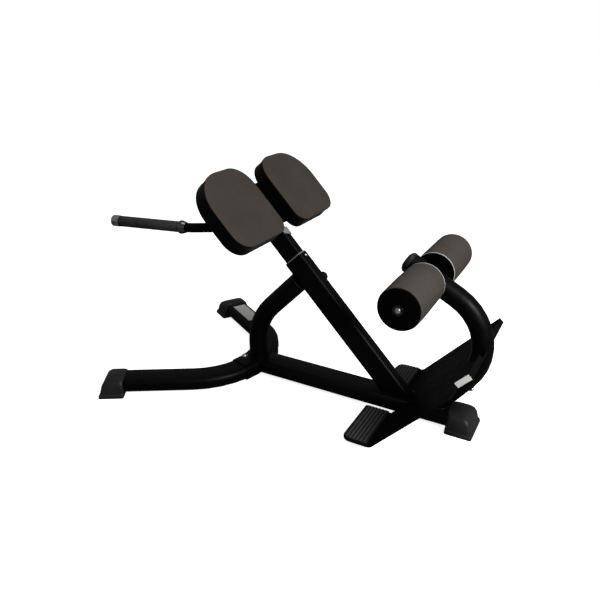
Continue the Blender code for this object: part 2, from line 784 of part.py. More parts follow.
def make_handlebar(paint):
    outline = circle(BAR_R, 18)
    mesh = sweep("handlebar", outline, bar_stations(), circle(BAR_R - 0.002, 18))
    return add_object("handlebar", mesh, paint)


def leg_line(side):
    """Tip of a handlebar leg and the direction that it points in."""
    tip, head = right_bar_line()[-1]
    flip = Vector((1, side, 1))
    return tip * flip, head * flip


def make_grips(rubber, plastic, steel):
    for word, side in SIDES:
        tip, head = leg_line(side)
        bore = BAR_R + GAP
        outer_end = tip - head * GRIP_START
        start = outer_end - head * GRIP_L
        grip = [
            (bore, 0.0), (GRIP_R - 0.0008, 0.0), (GRIP_R, 0.002), (GRIP_R, GRIP_L - 0.002),
            (GRIP_R - 0.0008, GRIP_L), (bore, GRIP_L),
        ]
        add_object("grip_" + word, turned("grip", grip, start, head), rubber)
        back = start - head * (COLLAR_L + GAP)
        collar = [(bore, 0.0), (BAR_R + 0.002, 0.0), (COLLAR_R - 0.001, 0.010), (COLLAR_R, 0.013),
                  (COLLAR_R, 0.019), (COLLAR_R - 0.003, COLLAR_L), (bore, COLLAR_L)]
        add_object("grip_collar_" + word, turned("collar", collar, back, head), plastic)
        cap = [(0.0, GRIP_START + GAP), (bore, GRIP_START + GAP), (bore, GAP), (END_CAP_R - 0.0005, GAP),
               (END_CAP_R, 0.002), (END_CAP_R, GRIP_START), (END_CAP_R - 0.002, GRIP_START + 0.003),
               (0.0, GRIP_START + 0.0035)]
        add_object("grip_end_cap_" + word, turned("cap", cap, outer_end, head), steel)


# ---------------------------------------------------------------- strut and roller arm

def strut_stations():
    """Up from the saddle, then bent towards the sleeve."""
    reach = STRUT_BEND_R * math.tan(STRUT_TURN / 2)
    low_z = STRUT_CORNER_Z - reach
    centre = Vector((STRUT_X + STRUT_BEND_R, 0.0, low_z))
    foot_z = LEG_Z + TUBE_H / 2 + SADDLE_T + 2 * GAP
    stations = [frame_at((STRUT_X, 0, foot_z), (1, 0, 0), (0, 1, 0))]
    steps = 6
    for i in range(steps + 1):
        a = STRUT_TURN * i / steps
        out = Vector((-math.cos(a), 0.0, math.sin(a)))
        stations.append(frame_at(centre + out * STRUT_BEND_R, -out, (0, 1, 0)))
    head = Vector((math.sin(STRUT_TURN), 0.0, math.cos(STRUT_TURN)))
    end = stations[-1][0] + head * 0.32
    stations.append(frame_at(end, stations[-1][1], (0, 1, 0)))
    return stations


def make_strut(paint):
    mesh = sweep("strut", circle(STRUT_R), strut_stations(), circle(STRUT_R - WALL))
    item = add_object("rear_strut", mesh, paint)
    far = SLEEVE_D / 2 + GAP
    size = (0.5 + 2 * far, 0.3, 0.8)
    rotation = Matrix((POST_OUT, SIDE, POST_UP)).transposed().to_4x4()
    middle = on_post(-0.1, 0.25)
    boolean(item, cutter("cut_strut_end", box_mesh("cut", size, Matrix.Translation(middle) @ rotation)))
    return item


def arm_stations():
    """C-shaped arm: beam, bend, then the straight that carries the axle."""
    def on_bend(a):
        out = Vector((math.cos(a), 0.0, math.sin(a)))
        middle = Vector((ARM_BEND_X, 0.0, ARM_BEND_Z))
        return frame_at(middle + out * ARM_BEND_R, out, (0, 1, 0))
    low = on_bend(ARM_LOW_ANGLE)
    heading = Vector((math.sin(ARM_LOW_ANGLE), 0.0, -math.cos(ARM_LOW_ANGLE)))
    stations = [frame_at(low[0] + heading * 0.2, low[1], low[2])]
    steps = 10
    for i in range(steps + 1):
        stations.append(on_bend(ARM_LOW_ANGLE + (ARM_TOP_ANGLE - ARM_LOW_ANGLE) * i / steps))
    top = stations[-1]
    stations.append(frame_at(top[0] + arm_heading() * ARM_TOP_STRAIGHT, top[1], top[2]))
    return stations


def arm_heading():
    """Direction of the arm's upper straight, away from the bend."""
    return Vector((-math.sin(ARM_TOP_ANGLE), 0.0, math.cos(ARM_TOP_ANGLE)))


def make_arm(paint):
    mesh = sweep("arm", circle(ARM_R), arm_stations(), circle(ARM_R - WALL))
    item = add_object("roller_arm", mesh, paint)
    top = BEAM_Z + TUBE_H / 2 + GAP
    matrix = Matrix.Translation((FRONT_X - 0.15, 0, top - 0.15))
    boolean(item, cutter("cut_arm_foot", box_mesh("cut", (0.4, 0.3, 0.3), matrix)))
    start = Vector((ROLLER_X, -0.06, ROLLER_Z))
    boolean(item, cutter("cut_arm_axle", rod("cut", AXLE_R + GAP, start, start + Vector((0, 0.12, 0)))))
    return item


def make_arm_bolt(steel, arm):
    """Bolt through the arm's outer wall, low down, that holds the sole plate's stay."""
    out = Vector((math.cos(ARM_LOW_ANGLE), 0.0, math.sin(ARM_LOW_ANGLE)))
    heading = Vector((math.sin(ARM_LOW_ANGLE), 0.0, -math.cos(ARM_LOW_ANGLE)))
    bend = Vector((ARM_BEND_X, 0.0, ARM_BEND_Z))
    centre = bend + out * (ARM_BEND_R + ARM_R + GAP) + heading * 0.015
    boolean(arm, hole_cutter("cut_arm_bolt", centre, out, 0.0044, 0.010))
    add_object("arm_bolt", bolt_mesh(centre, out, 0.0075, 0.005, 0.004, 0.010), steel)


def make_arm_plug(rubber):
    """Domed cap over the arm's open upper end."""
    end = arm_stations()[-1][0]
    inner = ARM_R - WALL - GAP
    rim = ARM_R + 0.0004
    profile = [(0.0, -0.020), (inner - 0.001, -0.020), (inner, -0.018), (inner, GAP), (rim, GAP),
               (rim, 0.008),
               (rim - 0.004, 0.014), (rim - 0.014, 0.019), (0.0, 0.021)]
    add_object("roller_arm_cap", turned("cap", profile, end, arm_heading()), rubber)


# ---------------------------------------------------------------- rollers

def make_axle(steel):
    half = ROLLER_OUT_Y + 0.001
    profile = [(0.0, -half), (AXLE_R - 0.001, -half), (AXLE_R, -half + 0.001), (AXLE_R, half - 0.001),
               (AXLE_R - 0.001, half), (0.0, half)]
    mesh = turned("axle", profile, (ROLLER_X, 0, ROLLER_Z), (0, 1, 0))
    item = add_object("roller_axle", mesh, steel)
    for side in (-1, 1):
        centre = (ROLLER_X, side * half, ROLLER_Z)
        boolean(item, hole_cutter("cut_axle_%d" % (side + 1), centre, (0, 1, 0), 0.0044, 0.020))


def make_roller(word, side, vinyl, plastic, steel):
    """Roller: padded sleeve on a steel core, two bushes and two end discs."""
    centre = Vector((ROLLER_X, 0.0, ROLLER_Z))
    axis = (0, side, 0)
    y0 = ROLLER_IN_Y
    y1 = ROLLER_OUT_Y
    foam_in = y0 + 0.004
    foam_out = y1 - 0.006
    soft = 0.003
    foam = [
        (CORE_R + GAP, foam_in), (ROLLER_R - soft, foam_in), (ROLLER_R, foam_in + soft),
        (ROLLER_R, foam_out - soft), (ROLLER_R - soft, foam_out), (CORE_R + GAP, foam_out),
    ]
    pieces = {"roller_pad_": (foam, vinyl, 40)}
    core = [(BUSH_R + GAP, foam_in), (CORE_R, foam_in), (CORE_R, foam_out), (BUSH_R + GAP, foam_out)]
    pieces["roller_core_"] = (core, steel, 24)
    disc_r = ROLLER_R - 0.001
    bore = BUSH_R + GAP
    inner = [(bore, y0), (disc_r - 0.001, y0), (disc_r, y0 + 0.001), (disc_r, foam_in - GAP),
             (bore, foam_in - GAP)]
    outer = [(bore, foam_out + GAP), (disc_r - 0.002, foam_out + GAP), (disc_r - 0.002, y1 - 0.003),
             (disc_r - 0.006, y1), (bore, y1)]
    pieces["roller_inner_disc_"] = (inner, plastic, 40)
    pieces["roller_outer_disc_"] = (outer, plastic, 40)
    for prefix, (profile, mat, sides) in pieces.items():
        item = add_object(prefix + word, turned(prefix, profile, centre, axis, sides), mat)
        set_origin(item, centre)
    bush = [(AXLE_R + GAP, y0), (BUSH_R, y0), (BUSH_R, y1 - 0.002), (AXLE_R + GAP, y1 - 0.002)]
    item = add_object("roller_bush_" + word, turned("bush", bush, centre, axis, 24), plastic)
    set_origin(item, centre)


def make_axle_spacers(steel):
    """Rings between the arm and the inner roller discs, and the end bolts."""
    centre = Vector((ROLLER_X, 0.0, ROLLER_Z))
    for word, side in SIDES:
        spacer = [(AXLE_R + GAP, ARM_R + GAP), (0.0165, ARM_R + GAP), (0.0165, ROLLER_IN_Y - GAP),
                  (AXLE_R + GAP, ROLLER_IN_Y - GAP)]
        add_object("roller_spacer_" + word, turned("spacer", spacer, centre, (0, side, 0), 24), steel)
        head = centre + Vector((0, side * (ROLLER_OUT_Y + 0.001 + GAP), 0))
        mesh = bolt_mesh(head, (0, side, 0), 0.0080, 0.005, 0.004, 0.018, 2.0)
        add_object("axle_bolt_" + word, mesh, steel)


# ---------------------------------------------------------------- foot platform

PLATE_UP = Vector((math.cos(PLATE_ANGLE), 0.0, math.sin(PLATE_ANGLE)))
PLATE_OUT = Vector((-math.sin(PLATE_ANGLE), 0.0, math.cos(PLATE_ANGLE)))
PLATE_BEND = Vector((PLATE_BEND_X, 0.0, PLATE_TOE_Z))


def on_plate(s, n=0.0, y=0.0):
    """A point s up the sole plate from its bend, n off its upper side."""
    return PLATE_BEND + PLATE_UP * s + PLATE_OUT * n + SIDE * y


def plate_side_view():
    """Outline of the bent plate, seen from the side."""
    reach = PLATE_BEND_R * math.tan(PLATE_ANGLE / 2)
    centre = Vector((PLATE_BEND_X - reach, 0.0, PLATE_TOE_Z + PLATE_BEND_R))
    top = [Vector((PLATE_TOE_X, 0.0, PLATE_TOE_Z))]
    low = [Vector((PLATE_TOE_X, 0.0, PLATE_TOE_Z - PLATE_T))]
    steps = 5
    for i in range(steps + 1):
        a = PLATE_ANGLE * i / steps
        down = Vector((math.sin(a), 0.0, -math.cos(a)))
        top.append(centre + down * PLATE_BEND_R)
        low.append(centre + down * (PLATE_BEND_R + PLATE_T))
    top.append(on_plate(PLATE_LENGTH))
    low.append(on_plate(PLATE_LENGTH, -PLATE_T))
    return top + low[::-1]


def corner_cutter(name, corner, along, across, radius, thick):
    """Takes off the square corner outside a round one. along and across point outwards."""
    along = Vector(along)
    across = Vector(across)
    deep = along.cross(across).normalized() * thick
    centre = corner - along * radius - across * radius
    steps = 5
    edge = [corner + along * 0.02 + across * 0.02, corner + along * 0.02 - across * radius]
    for i in range(steps + 1):
        a = math.pi / 2 * i / steps
        edge.append(centre + along * radius * math.cos(a) + across * radius * math.sin(a))
    edge.append(corner - along * radius + across * 0.02)
    return cutter(name, loft("cut", [[p - deep for p in edge], [p + deep for p in edge]]))


def plate_block(s0, s1, y0, y1, n0, n1):
    """Block in the sloping plate's own directions."""
    rings = [[on_plate(s, n, y) for s, n in ((s0, n0), (s1, n0), (s1, n1), (s0, n1))] for y in (y0, y1)]
    return loft("block", rings)


def make_foot_plate(paint):
    """Bent steel platform: level toe part, sloping sole, and a heel with an upturned rim."""
    outline = plate_side_view()
    half = PLATE_HALF_W
    rings = [[p + SIDE * y for p in outline] for y in (-half, half)]
    item = add_object("foot_plate", loft("foot_plate", rings), paint)
    for word, side in SIDES:
        inner = HEEL_HALF_W - HEEL_RIM_T
        shoulder = plate_block(PLATE_SHOULDER, PLATE_LENGTH + 0.05, side * (HEEL_HALF_W - PROUD),
                               side * (half + 0.05), -0.05, 0.05)
        boolean(item, cutter("cut_shoulder_" + word, shoulder))
        rim = plate_block(PLATE_SHOULDER + PROUD, PLATE_LENGTH + PROUD, side * inner, side * HEEL_HALF_W,
                          -PLATE_T / 2, HEEL_RIM_H)
        boolean(item, cutter("add_rim_" + word, rim), "UNION")
        boolean(item, corner_cutter("cut_toe_" + word, Vector((PLATE_TOE_X, side * half, PLATE_TOE_Z)),
                                    (-1, 0, 0), (0, side, 0), 0.030, 0.012))
        boolean(item, corner_cutter("cut_heel_" + word, on_plate(PLATE_SHOULDER, 0.0, side * half),
                                    PLATE_UP, (0, side, 0), 0.022, 0.012))
    inner = HEEL_HALF_W - PROUD
    back_rim = plate_block(PLATE_LENGTH - HEEL_RIM_T, PLATE_LENGTH + 2 * PROUD, -inner, inner,
                           -PLATE_T / 2 - PROUD, HEEL_RIM_H - PROUD)
    boolean(item, cutter("add_rim_back", back_rim), "UNION")
    top = BEAM_Z + TUBE_H / 2 + 0.002
    slots = (("toe", PLATE_TOE_X - 0.05, PLATE_BEND_X - 0.002, SLOT_HALF_W),
             ("beam", PLATE_TOE_X - 0.05, FRONT_X + 0.1, TUBE_W / 2 + 0.002))
    for word, x0, x1, half_w in slots:
        slot = sweep("cut", rounded_rect(2 * half_w, 2 * top, 0.019),
                     [frame_at((x, 0, 0), (0, 1, 0), (0, 0, 1)) for x in (x0, x1)])
        boolean(item, cutter("cut_plate_" + word, slot))
    post_slot = rounded_rect(SLEEVE_D + 0.004, SLEEVE_W + 0.004, SLEEVE_R + 0.002)
    boolean(item, cutter("cut_plate_post", post_prism("cut", post_slot, -0.7, -0.2)))
    gap = plate_block(PLATE_LENGTH - 0.03, PLATE_LENGTH + 0.02, -RIM_GAP_HALF_W, RIM_GAP_HALF_W,
                      PROUD, 0.04)
    boolean(item, cutter("cut_rim_gap", gap))
    boolean(item, cutter("cut_plate_arm", sweep("cut", circle(ARM_R + 0.001), arm_stations())))
    return item


def tread_profile():
    """Side view of a toe tread: a flat mat with rounded ribs across it."""
    x0 = PLATE_TOE_X + 0.003
    x1 = PLATE_BEND_X - 0.010
    base = PLATE_TOE_Z + GAP
    top = base + TREAD_T
    points = [(x1, base), (x1, top)]
    ribs = 6
    pitch = (x1 - x0 - 0.012) / ribs
    for i in range(ribs):
        right = x1 - 0.006 - pitch * i
        points += [(right, top), (right - pitch * 0.22, top + TREAD_RIB),
                   (right - pitch * 0.52, top + TREAD_RIB), (right - pitch * 0.74, top)]
    points += [(x0 + 0.002, top), (x0, top - 0.002), (x0, base)]
    return points


def make_treads(rubber):
    inner = SLOT_HALF_W + 0.003
    outer = TOE_HALF_W
    for word, side in SIDES:
        rings = [[Vector((x, side * y, z)) for x, z in tread_profile()] for y in (inner, outer)]
        item = add_object("toe_tread_" + word, loft("tread", rings), rubber, 50.0)
        corner = Vector((PLATE_TOE_X + 0.003, side * outer, PLATE_TOE_Z))
        boolean(item, corner_cutter("cut_tread_" + word, corner, (-1, 0, 0), (0, side, 0), 0.027, 0.05))


def make_labels(label):
    """Blank plates: one on the heel rim's left side, one on the right leg's top."""
    thick = 0.0012
    y = -HEEL_HALF_W - GAP
    strip = plate_block(PLATE_SHOULDER + 0.003, PLATE_LENGTH - 0.002, y - thick, y,
                        -PLATE_T + 0.001, HEEL_RIM_H - 0.001)
    add_object("heel_label", strip, label)
    end, along = leg_end(1)
    across = Vector((-along.y, along.x, 0.0))
    centre = end - along * 0.160
    centre.z = LEG_Z + TUBE_H / 2 + GAP + thick / 2
    rotation = Matrix((along, across, Vector((0, 0, 1)))).transposed().to_4x4()
    size = (0.160, 0.054, thick)
    add_object("leg_label", box_mesh("label", size, Matrix.Translation(centre) @ rotation), label)


# ---------------------------------------------------------------- assembly

def main():
    clear_scene()
    paint = finish_paint()
    steel = finish_steel()
    rubber = finish_rubber()
    plastic = finish_plastic()
    vinyl = finish_vinyl()
    stabiliser = make_stabiliser(paint)
    saddle = make_saddle(paint)
    make_beam(paint)
    make_feet(rubber)
    make_saddle_bolts(steel, saddle, stabiliser)
    sleeve = make_sleeve(paint)
    liner = make_liner(plastic)
    make_liner_screw(steel, sleeve, liner)
    make_post(paint)
    make_post_plugs(plastic)
    make_post_bumper(rubber)
    make_lock_pin(paint, steel, plastic, sleeve)
    make_pads(vinyl, finish_wood())
    make_brackets(paint)
    make_pad_screws(steel)
    make_handlebar(paint)
    make_grips(rubber, plastic, steel)
    make_strut(paint)
    arm = make_arm(paint)
    make_arm_bolt(steel, arm)
    make_arm_plug(rubber)
    make_axle(steel)
    make_axle_spacers(steel)
    for word, side in SIDES:
        make_roller(word, side, vinyl, plastic, steel)
    make_foot_plate(paint)
    make_treads(rubber)
    make_labels(finish_label())


main()
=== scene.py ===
"""Looks for the roman chair: upholstery, painted steel, rubber, light and camera."""

import math

import bmesh
import bpy
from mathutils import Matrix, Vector, noise


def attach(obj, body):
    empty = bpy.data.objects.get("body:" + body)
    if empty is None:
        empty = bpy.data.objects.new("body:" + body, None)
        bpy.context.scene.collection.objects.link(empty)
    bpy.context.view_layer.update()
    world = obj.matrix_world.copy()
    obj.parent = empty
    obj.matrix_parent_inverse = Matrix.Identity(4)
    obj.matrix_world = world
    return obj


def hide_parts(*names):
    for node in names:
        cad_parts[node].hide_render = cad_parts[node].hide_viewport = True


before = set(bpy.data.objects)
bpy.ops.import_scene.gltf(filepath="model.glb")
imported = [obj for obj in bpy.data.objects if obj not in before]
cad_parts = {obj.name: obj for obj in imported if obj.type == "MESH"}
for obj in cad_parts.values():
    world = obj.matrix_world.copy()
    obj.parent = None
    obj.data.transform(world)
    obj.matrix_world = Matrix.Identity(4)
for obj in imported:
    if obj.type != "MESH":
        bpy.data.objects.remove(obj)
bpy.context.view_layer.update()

# ---------------------------------------------------------------- dimensions shared with the CAD

FRONT_X = 0.6241
POST_ANGLE = math.radians(46.4)             # the sliding post, from the floor
SLEEVE_TOP = Vector((FRONT_X - 0.661, 0.0, 0.4745))
SLEEVE = (0.080, 0.045, 0.010)               # deep, wide, corner radius
POST_UP = Vector((-math.cos(POST_ANGLE), 0.0, math.sin(POST_ANGLE)))
POST_OUT = Vector((math.sin(POST_ANGLE), 0.0, math.cos(POST_ANGLE)))
SIDE = Vector((0.0, 1.0, 0.0))
UP = Vector((0.0, 0.0, 1.0))
PAD_S = 0.214                                # pad middle, up the post from the sleeve's top
PAD_FACE_N = 0.0844                          # pad face, in front of the post's axis
PAD_T = 0.056
BOARD_T = 0.012
BOARD_INSET = 0.004
PAD_L = 0.262
PAD_Y = (0.0440, 0.3065)
PAD_RADII = (0.120, 0.063, 0.048, 0.077)     # top outer, low outer, low inner, top inner
PAD_SEAM_DROP = 0.0065                       # face seam, below the pad's face
PAD_CROWN = 0.0045
ROLLER_X = FRONT_X - 0.1984
ROLLER_Z = 0.4923
ROLLER_R = 0.0646
ROLLER_Y = (0.054, 0.265)
ROLLER_CORE_R = 0.0204
BEAM_TOP = 0.062
ARM_R = 0.0337
ARM_BEND = Vector((FRONT_X - 0.1922, 0.0, 0.2882))
ARM_BEND_R = 0.1784
ARM_LOW_ANGLE = math.radians(-36.8)
STRUT_R = 0.0345
STRUT_X = FRONT_X - 0.821
STRUT_TURN = math.radians(44.0)
STRUT_CORNER_Z = 0.212
STRUT_FOOT_Z = 0.0633
GRIP_SPLAY = math.radians(11.06)
SLOT_HALF_W = 0.060
TREAD_VALLEY_Z = 0.0228
TREAD_TOP_Z = 0.0240
SIDES = (("left", -1), ("right", 1))

# ---------------------------------------------------------------- sewing, welds and stage

STITCH_L = 0.0036
STITCH_R = 0.0005
STITCH_PITCH = 0.0052
STITCH_LIFT = 0.0002
STITCH_DROP = 0.0034                         # stitch line, below the face seam
ROLLER_SIDES = 96
ROLLER_SEAM = int(ROLLER_SIDES * 0.72)       # step of the lengthwise seam
ROLLER_SEAM_DEPTH = 0.0009
ROLLER_STITCHES = 38
ROLLER_STITCH_TURN = 0.055                   # radians to each side of the seam
ROLLER_END = 0.0042                          # rounding of the cover's ends
WELD_R = 0.0026
WELD_STEP = 0.0016
FLOOR_HALF = 14.0
FLOOR_GLOW = 0.86                            # keeps the pale floor even under the soft lights
FLOOR_BOUNCE = 0.16                          # floor brightness as the object meets it
WORLD_FILL = 0.22                            # sky brightness as the object meets it
KEY_LIGHT = ((2.5, -1.0, 1.9), (0.1, 0.0, 0.35), (0.8, 0.8), 105.0)
TOP_LIGHT = ((0.4, 0.2, 3.2), (0.0, 0.0, 0.2), (1.6, 1.6), 26.0)
LENS = 35.81
CAMERA_PLACE = (0.2651 + FRONT_X, -1.6612, 1.1610)
CAMERA_TILT = math.radians(66.13)
CAMERA_TURN = math.radians(28.70)


# ---------------------------------------------------------------- shader helpers

class Shader:
    """A material's node tree with short calls for the nodes used here."""

    def __init__(self, name):
        self.mat = bpy.data.materials.new(name)
        self.mat.use_nodes = True
        self.tree = self.mat.node_tree
        self.bsdf = self.tree.nodes["Principled BSDF"]
        self.coord = self.tree.nodes.new("ShaderNodeTexCoord").outputs["Object"]

    def link(self, a, b):
        self.tree.links.new(a, b)

    def set(self, **values):
        for key, value in values.items():
            self.bsdf.inputs[key.replace("_", " ")].default_value = value

    def noise(self, scale, detail=4.0, rough=0.5, vector=None):
        node = self.tree.nodes.new("ShaderNodeTexNoise")
        node.inputs["Scale"].default_value = scale
        node.inputs["Detail"].default_value = detail
        node.inputs["Roughness"].default_value = rough
        self.link(vector or self.coord, node.inputs["Vector"])
        return node.outputs["Fac"]

    def cells(self, scale, feature="DISTANCE_TO_EDGE", vector=None):
        node = self.tree.nodes.new("ShaderNodeTexVoronoi")
        node.feature = feature
        node.inputs["Scale"].default_value = scale
        self.link(vector or self.coord, node.inputs["Vector"])
        return node.outputs["Distance"]

    def math(self, operation, a, b=0.0, c=0.0):
        node = self.tree.nodes.new("ShaderNodeMath")
        node.operation = operation
        for i, value in enumerate((a, b, c)):
            if isinstance(value, (int, float)):
                node.inputs[i].default_value = value
            else:
                self.link(value, node.inputs[i])
        return node.outputs[0]

    def ramp(self, value, stops):
        node = self.tree.nodes.new("ShaderNodeMapRange")
        low, high, to_low, to_high = stops
        node.inputs["From Min"].default_value = low
        node.inputs["From Max"].default_value = high
        node.inputs["To Min"].default_value = to_low
        node.inputs["To Max"].default_value = to_high
        self.link(value, node.inputs["Value"])
        return node.outputs["Result"]

    def mix(self, factor, a, b):
        node = self.tree.nodes.new("ShaderNodeMix")
        node.data_type = "RGBA"
        self.link(factor, node.inputs["Factor"])
        for socket, value in ((node.inputs[6], a), (node.inputs[7], b)):
            if isinstance(value, tuple):
                socket.default_value = (*value, 1.0)
            else:
                self.link(value, socket)
        return node.outputs[2]

    def dot(self, vector, direction):
        node = self.tree.nodes.new("ShaderNodeVectorMath")
        node.operation = "DOT_PRODUCT"
        self.link(vector, node.inputs[0])
        node.inputs[1].default_value = direction
        return node.outputs["Value"]

    def moved(self, origin):
        node = self.tree.nodes.new("ShaderNodeVectorMath")
        node.operation = "SUBTRACT"
        self.link(self.coord, node.inputs[0])
        node.inputs[1].default_value = origin
        return node.outputs["Vector"]

    def from_axle(self):
        """Distance from the roller axle."""
        flat = self.tree.nodes.new("ShaderNodeVectorMath")
        flat.operation = "MULTIPLY"
        flat.inputs[1].default_value = (1.0, 0.0, 1.0)
        self.link(self.moved((ROLLER_X, 0.0, ROLLER_Z)), flat.inputs[0])
        length = self.tree.nodes.new("ShaderNodeVectorMath")
        length.operation = "LENGTH"
        self.link(flat.outputs["Vector"], length.inputs[0])
        return length.outputs["Value"]

    def edges(self, radius):
        """(rounded normal, edge mask) from the bevel node."""
        bevel = self.tree.nodes.new("ShaderNodeBevel")
        bevel.samples = 4
        bevel.inputs["Radius"].default_value = radius
        geometry = self.tree.nodes.new("ShaderNodeNewGeometry")
        node = self.tree.nodes.new("ShaderNodeVectorMath")
        node.operation = "DOT_PRODUCT"
        self.link(bevel.outputs["Normal"], node.inputs[0])
        self.link(geometry.outputs["Normal"], node.inputs[1])
        return bevel.outputs["Normal"], self.ramp(node.outputs["Value"], (0.97, 0.80, 0.0, 1.0))

    def bump(self, height, strength, distance, normal=None):
        node = self.tree.nodes.new("ShaderNodeBump")
        node.inputs["Strength"].default_value = strength
        node.inputs["Distance"].default_value = distance
        self.link(height, node.inputs["Height"])
        if normal is not None:
            self.link(normal, node.inputs["Normal"])
        return node.outputs["Normal"]

    def finish(self, colour, roughness, normal):
        if isinstance(colour, tuple):
            self.bsdf.inputs["Base Color"].default_value = (*colour, 1.0)
        else:
            self.link(colour, self.bsdf.inputs["Base Color"])
        self.link(roughness, self.bsdf.inputs["Roughness"])
        self.link(normal, self.bsdf.inputs["Normal"])
        return self.mat


def grey(level):
    return (level, level, level * 1.03)


def powder_coat(name, dark, light, worn, specular, speckle=0.0, slot_highlight=False):
    """Sprayed paint: orange-peel bump, faint cloudiness, rubbed edges, optional pale specks, optional
    painted highlight along the slot edge.
    """
    s = Shader(name)
    s.set(Specular_IOR_Level=specular)
    cloud = s.ramp(s.noise(9.0), (0.35, 0.65, 0.0, 1.0))
    colour = s.mix(cloud, dark, light)
    rounded, edge = s.edges(0.0016)
    scuff = s.ramp(s.noise(60.0, 6.0, 0.65), (0.50, 0.68, 0.0, 0.8))
    colour = s.mix(s.math("MULTIPLY", edge, scuff), colour, worn)
    if speckle:
        dots = s.ramp(s.cells(650.0, "F1"), (0.22, 0.10, 0.0, speckle))
        colour = s.mix(dots, colour, worn)
    if slot_highlight:
        # pale grey painted highlight along the slot edge
        colour = s.mix(slot_edge_highlight(s), colour, (0.55, 0.55, 0.54))
    rough = s.ramp(s.noise(28.0, 5.0, 0.6), (0.3, 0.7, 0.36, 0.50))
    peel = s.math("ADD", s.noise(420.0, 2.0), s.math("MULTIPLY", s.noise(90.0, 3.0), 0.4))
    return s.finish(colour, rough, s.bump(peel, 0.10, 0.0006, rounded))


def slot_edge_highlight(s):
    """Mask of a painted highlight along the toe part's edge beside the base beam, broken into patches.
    """
    parts = s.tree.nodes.new("ShaderNodeSeparateXYZ")
    s.link(s.coord, parts.inputs[0])
    sideways = s.math("ABSOLUTE", parts.outputs["Y"])
    near = s.ramp(sideways, (SLOT_HALF_W + 0.0006, SLOT_HALF_W + 0.0012, 1.0, 0.0))
    ahead = s.ramp(parts.outputs["X"], (FRONT_X - 0.268, FRONT_X - 0.264, 1.0, 0.0))
    patchy = s.ramp(s.noise(70.0), (0.3, 0.6, 0.5, 1.0))
    return s.math("MULTIPLY", s.math("MULTIPLY", near, ahead), patchy)


def tread_rubber(name):
    """Ribbed mat: rubbed paler on top of the ribs, with painted shade between them."""
    s = Shader(name)
    s.set(Specular_IOR_Level=0.10)
    parts = s.tree.nodes.new("ShaderNodeSeparateXYZ")
    s.link(s.coord, parts.inputs[0])
    raised = s.ramp(parts.outputs["Z"], (TREAD_VALLEY_Z, TREAD_TOP_Z, 0.0, 1.0))
    rubbed = s.ramp(s.noise(40.0, 6.0, 0.7), (0.35, 0.65, 0.0, 1.0))
    worn = s.mix(rubbed, grey(0.026), grey(0.040))
    # near-black painted shade in the grooves between the ribs
    colour = s.mix(raised, (0.0085, 0.0085, 0.0086), worn)
    rounded, _ = s.edges(0.0010)
    rough = s.ramp(s.noise(50.0, 5.0), (0.3, 0.7, 0.48, 0.66))
    height = s.math("ADD", s.noise(1300.0, 3.0), s.math("MULTIPLY", s.cells(900.0), 0.6))
    return s.finish(colour, rough, s.bump(height, 0.22, 0.0005, rounded))


def capped_bolt(name):
    """Zinc bolt head on a black washer, both centred on the roller axle."""
    s = Shader(name)
    washer = s.ramp(s.from_axle(), (0.0080, 0.0084, 0.0, 1.0))
    s.link(s.math("SUBTRACT", 1.0, washer), s.bsdf.inputs["Metallic"])
    dulled = s.ramp(s.noise(55.0, 5.0), (0.4, 0.7, 0.0, 1.0))
    steel = s.mix(dulled, (0.62, 0.62, 0.60), (0.40, 0.40, 0.39))
    colour = s.mix(washer, steel, (0.0012, 0.0012, 0.0013))
    rounded, _ = s.edges(0.0006)
    rough = s.ramp(s.noise(120.0, 4.0), (0.3, 0.7, 0.24, 0.36))
    return s.finish(colour, rough, s.bump(s.noise(900.0, 2.0), 0.08, 0.0003, rounded))


def moulded(name, dark, light, worn, roughness, specular, grain=300.0):
    """Moulded rubber or plastic: fine spark-eroded grain, scuffs and rubbed edges."""
    s = Shader(name)
    s.set(Specular_IOR_Level=specular)
    colour = s.mix(s.ramp(s.noise(14.0, 5.0), (0.35, 0.65, 0.0, 1.0)), dark, light)
    rounded, edge = s.edges(0.0012)
    scuff = s.ramp(s.noise(85.0, 6.0, 0.7), (0.42, 0.66, 0.0, 0.9))
    colour = s.mix(s.math("MULTIPLY", edge, scuff), colour, worn)
    rough = s.ramp(s.noise(40.0, 5.0, 0.6), (0.3, 0.7, roughness - 0.07, roughness + 0.07))
    height = s.math("ADD", s.noise(grain * 4, 3.0), s.math("MULTIPLY", s.cells(grain * 3), 0.6))
    return s.finish(colour, rough, s.bump(height, 0.22, 0.0005, rounded))


def plated(name, colour, roughness):
    """Zinc or chrome plate with fine turning marks and slightly dulled patches."""
    s = Shader(name)
    s.set(Metallic=1.0)
    dull = tuple(c * 0.62 for c in colour)
    tint = s.mix(s.ramp(s.noise(55.0, 5.0), (0.4, 0.7, 0.0, 1.0)), colour, dull)
    rounded, _ = s.edges(0.0006)
    rough = s.ramp(s.noise(120.0, 4.0), (0.3, 0.7, roughness - 0.06, roughness + 0.10))
    return s.finish(tint, rough, s.bump(s.noise(900.0, 2.0), 0.08, 0.0003, rounded))


def vinyl_grain(s):
    """Leather-grain height: pebbles of two sizes with pores."""
    warp = s.noise(26.0, 2.0)
    shifted = s.tree.nodes.new("ShaderNodeVectorMath")
    shifted.operation = "MULTIPLY_ADD"
    shifted.inputs[1].default_value = (0.004, 0.004, 0.004)
    s.link(warp, shifted.inputs[0])
    s.link(s.coord, shifted.inputs[2])
    vector = shifted.outputs["Vector"]
    big = s.ramp(s.cells(430.0, "DISTANCE_TO_EDGE", vector), (0.0, 0.22, 0.0, 1.0))
    small = s.ramp(s.cells(980.0, "DISTANCE_TO_EDGE", vector), (0.0, 0.25, 0.0, 1.0))
    return s.math("ADD", big, s.math("MULTIPLY", small, 0.45))


